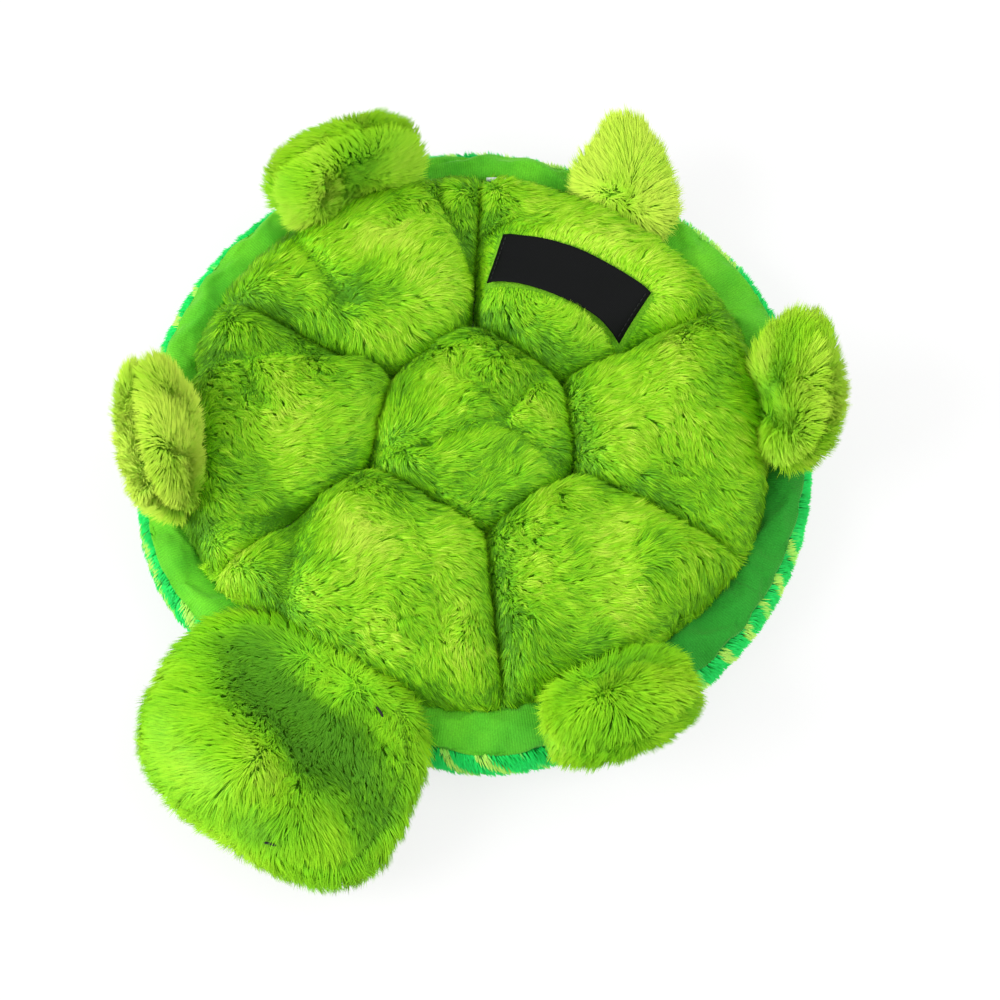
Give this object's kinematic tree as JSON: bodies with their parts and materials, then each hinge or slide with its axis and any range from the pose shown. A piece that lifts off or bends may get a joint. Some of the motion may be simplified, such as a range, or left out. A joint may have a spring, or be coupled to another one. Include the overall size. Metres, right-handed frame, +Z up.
{
  "type": "plush turtle",
  "caption": "Soft plush turtle toy lying belly up, with a quilted belly of squeaker pockets, a velour band, a striped shell, and a head, feet and tail that bend at their seams.",
  "frame": {"origin": "centre of the flat patch of the shell that the toy rests on", "axes": "belly up: +Z points up out of the belly, +Y from the head towards the tail, +X to the toy's left or right side as seen from above with the tail up, so +X is the side of the hind foot beside the bare label's right end"},
  "size_m": [0.262, 0.3207, 0.0712],
  "materials": {
    "lime_plush": "long pile",
    "shell_plush": "short pile, printed stripes",
    "green_velour": "short velour",
    "lining_cloth": "plain weave",
    "wadding": "loose fibre",
    "squeaker_plastic": "satin",
    "label_black": "woven satin",
    "label_white": "satin ribbon",
    "eye_white": "embroidery",
    "eye_black": "embroidery"
  },
  "bodies": {
    "body": {"shell_back": "shell_plush", "shell_wadding": "wadding", "pocket_lining": "lining_cloth", "rim_band": "green_velour", "belly_panel": "lime_plush", "sewn_label": "label_black", "care_label": "label_white", "squeaker_bulb_centre": "squeaker_plastic", "squeaker_bulb_1": "squeaker_plastic", "squeaker_bulb_2": "squeaker_plastic", "squeaker_bulb_3": "squeaker_plastic", "squeaker_bulb_4": "squeaker_plastic", "squeaker_bulb_5": "squeaker_plastic", "squeaker_bulb_6": "squeaker_plastic"},
    "squeaker_centre": {"squeaker_reed_centre": "squeaker_plastic"},
    "squeaker_1": {"squeaker_reed_1": "squeaker_plastic"},
    "squeaker_2": {"squeaker_reed_2": "squeaker_plastic"},
    "squeaker_3": {"squeaker_reed_3": "squeaker_plastic"},
    "squeaker_4": {"squeaker_reed_4": "squeaker_plastic"},
    "squeaker_5": {"squeaker_reed_5": "squeaker_plastic"},
    "squeaker_6": {"squeaker_reed_6": "squeaker_plastic"},
    "head": {"head_chin_panel": "lime_plush", "head_crown_panel": "lime_plush", "head_wadding": "wadding", "eye_white_left": "eye_white", "eye_white_right": "eye_white", "pupil_left": "eye_black", "pupil_right": "eye_black"},
    "front_left_foot": {"front_left_foot_sole": "lime_plush", "front_left_foot_back": "lime_plush", "front_left_foot_wadding": "wadding"},
    "front_right_foot": {"front_right_foot_sole": "lime_plush", "front_right_foot_back": "lime_plush", "front_right_foot_wadding": "wadding"},
    "hind_left_foot": {"hind_left_foot_sole": "lime_plush", "hind_left_foot_back": "lime_plush", "hind_left_foot_wadding": "wadding"},
    "hind_right_foot": {"hind_right_foot_sole": "lime_plush", "hind_right_foot_back": "lime_plush", "hind_right_foot_wadding": "wadding"},
    "tail": {"tail_under_panel": "lime_plush", "tail_upper_panel": "lime_plush", "tail_wadding": "wadding"}
  },
  "joints": [
    {"name": "squeaker_centre_press", "type": "slide", "parent": "body", "child": "squeaker_centre", "axis": [0, 0, -1], "range_m": [0, 0.007], "stiffness_N_per_m": 400, "deforming": ["squeaker_bulb_centre"]},
    {"name": "squeaker_1_press", "type": "slide", "parent": "body", "child": "squeaker_1", "axis": [0, 0, -1], "range_m": [0, 0.007], "stiffness_N_per_m": 400, "deforming": ["squeaker_bulb_1"]},
    {"name": "squeaker_2_press", "type": "slide", "parent": "body", "child": "squeaker_2", "axis": [0, 0, -1], "range_m": [0, 0.007], "stiffness_N_per_m": 400, "deforming": ["squeaker_bulb_2"]},
    {"name": "squeaker_3_press", "type": "slide", "parent": "body", "child": "squeaker_3", "axis": [0, 0, -1], "range_m": [0, 0.007], "stiffness_N_per_m": 400, "deforming": ["squeaker_bulb_3"]},
    {"name": "squeaker_4_press", "type": "slide", "parent": "body", "child": "squeaker_4", "axis": [0, 0, -1], "range_m": [0, 0.007], "stiffness_N_per_m": 400, "deforming": ["squeaker_bulb_4"]},
    {"name": "squeaker_5_press", "type": "slide", "parent": "body", "child": "squeaker_5", "axis": [0, 0, -1], "range_m": [0, 0.007], "stiffness_N_per_m": 400, "deforming": ["squeaker_bulb_5"]},
    {"name": "squeaker_6_press", "type": "slide", "parent": "body", "child": "squeaker_6", "axis": [0, 0, -1], "range_m": [0, 0.007], "stiffness_N_per_m": 400, "deforming": ["squeaker_bulb_6"]},
    {"name": "head_bend", "type": "hinge", "parent": "body", "child": "head", "pos_m": [0.00198, -0.10973, 0.0325], "axis": [-0.9999, -0.0168, 0], "range_deg": [0, 60]},
    {"name": "front_left_foot_bend", "type": "hinge", "parent": "body", "child": "front_left_foot", "pos_m": [-0.08909, -0.06838, 0.0325], "axis": [-0.6372, 0.7707, 0], "range_deg": [-50, 25], "stiffness_Nm_per_rad": 0.04},
    {"name": "front_right_foot_bend", "type": "hinge", "parent": "body", "child": "front_right_foot", "pos_m": [0.09602, -0.05903, 0.0325], "axis": [-0.5521, -0.8338, 0], "range_deg": [-20, 50], "stiffness_Nm_per_rad": 0.04},
    {"name": "hind_left_foot_bend", "type": "hinge", "parent": "body", "child": "hind_left_foot", "pos_m": [-0.09655, 0.05822, 0.0325], "axis": [0.5447, 0.8386, 0], "range_deg": [-65, 10], "stiffness_Nm_per_rad": 0.04},
    {"name": "hind_right_foot_bend", "type": "hinge", "parent": "body", "child": "hind_right_foot", "pos_m": [0.0921, 0.06457, 0.0325], "axis": [0.6027, -0.798, 0], "range_deg": [-45, 25], "stiffness_Nm_per_rad": 0.04},
    {"name": "tail_bend", "type": "hinge", "parent": "body", "child": "tail", "pos_m": [-0.00198, 0.10973, 0.0325], "axis": [0.9999, 0.0168, 0], "range_deg": [-8, 50], "stiffness_Nm_per_rad": 0.03}
  ]
}
